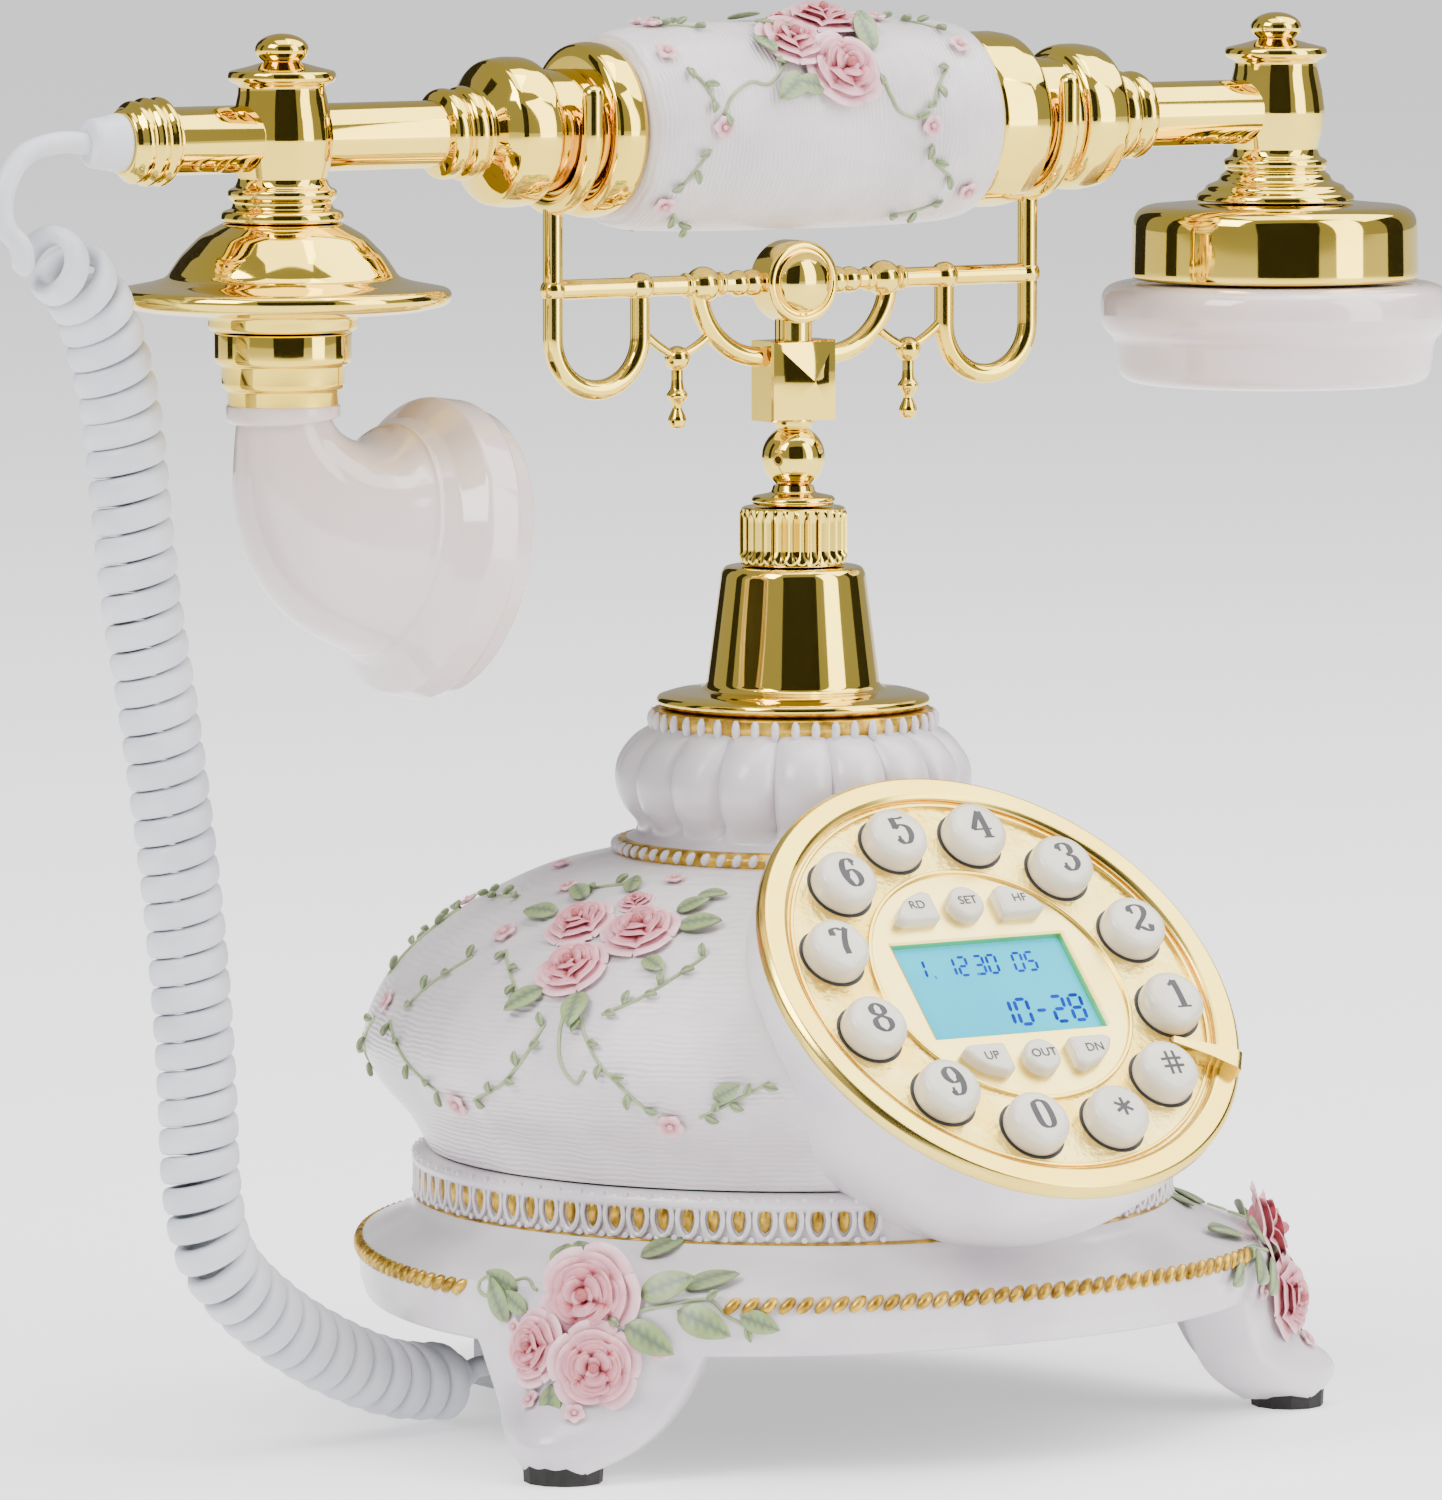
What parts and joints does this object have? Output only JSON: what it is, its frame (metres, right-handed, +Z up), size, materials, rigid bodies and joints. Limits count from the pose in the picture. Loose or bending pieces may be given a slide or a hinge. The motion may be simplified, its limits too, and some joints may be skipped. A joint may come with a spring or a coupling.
{
  "type": "push-button cradle telephone",
  "caption": "Ornate push-button telephone with a cast resin base on feet, tilted dial with display, gilt cradle and a gilt handset with a mouth horn, ear cap and curly cord.",
  "frame": {"origin": "on the table under the column's axis, which is the middle of the outline without the cord", "axes": "+X from mouth to ear along the handset, +Y to the back, the dial faces -Y, +Z up"},
  "size_m": [0.2798, 0.1802, 0.2301],
  "materials": {
    "resin": "cast resin with a pearl white lacquer, painted roses, vines and gilt trims",
    "gold": "mirror-polished gilt plating",
    "gold_face": "satin gilt face with raised scrollwork",
    "white_gloss": "warm white moulded plastic, high gloss",
    "keycap": "cream moulded plastic, semi-gloss, printed numerals",
    "rubber_foot": "matt black rubber",
    "steel": "plated steel",
    "circuit_board": "green solder mask",
    "dark_plastic": "black moulded plastic, fine grain",
    "display": "back-lit liquid crystal display under clear glass",
    "cord_jacket": "satin white vinyl jacket",
    "clear_plug": "clear moulded plug"
  },
  "bodies": {
    "base": {"plinth": "resin", "foot_front_left": "resin", "foot_front_right": "resin", "foot_rear": "resin", "pad_front_left": "rubber_foot", "pad_front_right": "rubber_foot", "pad_rear": "rubber_foot", "bottom_cover": "dark_plastic", "dome": "resin", "bulb_collar": "resin", "dial_pod": "resin", "column_cone": "gold", "fluted_collar": "gold", "plunger_spring": "steel", "hook_switch": "dark_plastic", "main_board": "circuit_board", "ringer": "steel", "handset_jack": "dark_plastic", "dial_plate": "gold_face", "dial_rim": "gold", "display_module": "display", "key_board": "circuit_board", "cord_plug": "clear_plug"},
    "cradle": {"cradle_post": "gold", "cradle_yoke": "gold"},
    "handset": {"grip_barrel": "resin", "grip_ring_left": "gold", "grip_ring_right": "gold", "arm_left": "gold", "arm_right": "gold", "tie_rod": "steel", "stem_left": "gold", "stem_right": "gold", "mouth_saucer": "gold", "horn_collar": "gold", "mouth_horn": "white_gloss", "microphone": "dark_plastic", "ear_shell": "gold", "ear_cap": "white_gloss", "receiver": "steel", "cord_relief": "cord_jacket", "curly_cord": "cord_jacket"},
    "key_1": {"key_1": "keycap"},
    "key_2": {"key_2": "keycap"},
    "key_3": {"key_3": "keycap"},
    "key_4": {"key_4": "keycap"},
    "key_5": {"key_5": "keycap"},
    "key_6": {"key_6": "keycap"},
    "key_7": {"key_7": "keycap"},
    "key_8": {"key_8": "keycap"},
    "key_9": {"key_9": "keycap"},
    "key_0": {"key_0": "keycap"},
    "key_star": {"key_star": "keycap"},
    "key_hash": {"key_hash": "keycap"},
    "function_upper_left": {"function_upper_left": "keycap"},
    "function_upper_middle": {"function_upper_middle": "keycap"},
    "function_upper_right": {"function_upper_right": "keycap"},
    "function_lower_left": {"function_lower_left": "keycap"},
    "function_lower_middle": {"function_lower_middle": "keycap"},
    "function_lower_right": {"function_lower_right": "keycap"}
  },
  "joints": [
    {"name": "cradle_slide", "type": "slide", "parent": "base", "child": "cradle", "axis": [0, 0, 1], "range_m": [0, 0.003], "stiffness_N_per_m": 150, "springref_m": 0.006, "deforming": ["plunger_spring"]},
    {"name": "handset_lift", "type": "slide", "parent": "cradle", "child": "handset", "axis": [0, 0, 1], "range_m": [0, 0.12], "deforming": ["curly_cord"]},
    {"name": "key_1_press", "type": "slide", "parent": "base", "child": "key_1", "axis": [0, 0.7193, -0.6947], "range_m": [0, 0.0015], "stiffness_N_per_m": 300},
    {"name": "key_2_press", "type": "slide", "parent": "base", "child": "key_2", "axis": [0, 0.7193, -0.6947], "range_m": [0, 0.0015], "stiffness_N_per_m": 300},
    {"name": "key_3_press", "type": "slide", "parent": "base", "child": "key_3", "axis": [0, 0.7193, -0.6947], "range_m": [0, 0.0015], "stiffness_N_per_m": 300},
    {"name": "key_4_press", "type": "slide", "parent": "base", "child": "key_4", "axis": [0, 0.7193, -0.6947], "range_m": [0, 0.0015], "stiffness_N_per_m": 300},
    {"name": "key_5_press", "type": "slide", "parent": "base", "child": "key_5", "axis": [0, 0.7193, -0.6947], "range_m": [0, 0.0015], "stiffness_N_per_m": 300},
    {"name": "key_6_press", "type": "slide", "parent": "base", "child": "key_6", "axis": [0, 0.7193, -0.6947], "range_m": [0, 0.0015], "stiffness_N_per_m": 300},
    {"name": "key_7_press", "type": "slide", "parent": "base", "child": "key_7", "axis": [0, 0.7193, -0.6947], "range_m": [0, 0.0015], "stiffness_N_per_m": 300},
    {"name": "key_8_press", "type": "slide", "parent": "base", "child": "key_8", "axis": [0, 0.7193, -0.6947], "range_m": [0, 0.0015], "stiffness_N_per_m": 300},
    {"name": "key_9_press", "type": "slide", "parent": "base", "child": "key_9", "axis": [0, 0.7193, -0.6947], "range_m": [0, 0.0015], "stiffness_N_per_m": 300},
    {"name": "key_0_press", "type": "slide", "parent": "base", "child": "key_0", "axis": [0, 0.7193, -0.6947], "range_m": [0, 0.0015], "stiffness_N_per_m": 300},
    {"name": "key_star_press", "type": "slide", "parent": "base", "child": "key_star", "axis": [0, 0.7193, -0.6947], "range_m": [0, 0.0015], "stiffness_N_per_m": 300},
    {"name": "key_hash_press", "type": "slide", "parent": "base", "child": "key_hash", "axis": [0, 0.7193, -0.6947], "range_m": [0, 0.0015], "stiffness_N_per_m": 300},
    {"name": "function_upper_left_press", "type": "slide", "parent": "base", "child": "function_upper_left", "axis": [0, 0.7193, -0.6947], "range_m": [0, 0.001], "stiffness_N_per_m": 300},
    {"name": "function_upper_middle_press", "type": "slide", "parent": "base", "child": "function_upper_middle", "axis": [0, 0.7193, -0.6947], "range_m": [0, 0.001], "stiffness_N_per_m": 300},
    {"name": "function_upper_right_press", "type": "slide", "parent": "base", "child": "function_upper_right", "axis": [0, 0.7193, -0.6947], "range_m": [0, 0.001], "stiffness_N_per_m": 300},
    {"name": "function_lower_left_press", "type": "slide", "parent": "base", "child": "function_lower_left", "axis": [0, 0.7193, -0.6947], "range_m": [0, 0.001], "stiffness_N_per_m": 300},
    {"name": "function_lower_middle_press", "type": "slide", "parent": "base", "child": "function_lower_middle", "axis": [0, 0.7193, -0.6947], "range_m": [0, 0.001], "stiffness_N_per_m": 300},
    {"name": "function_lower_right_press", "type": "slide", "parent": "base", "child": "function_lower_right", "axis": [0, 0.7193, -0.6947], "range_m": [0, 0.001], "stiffness_N_per_m": 300}
  ]
}
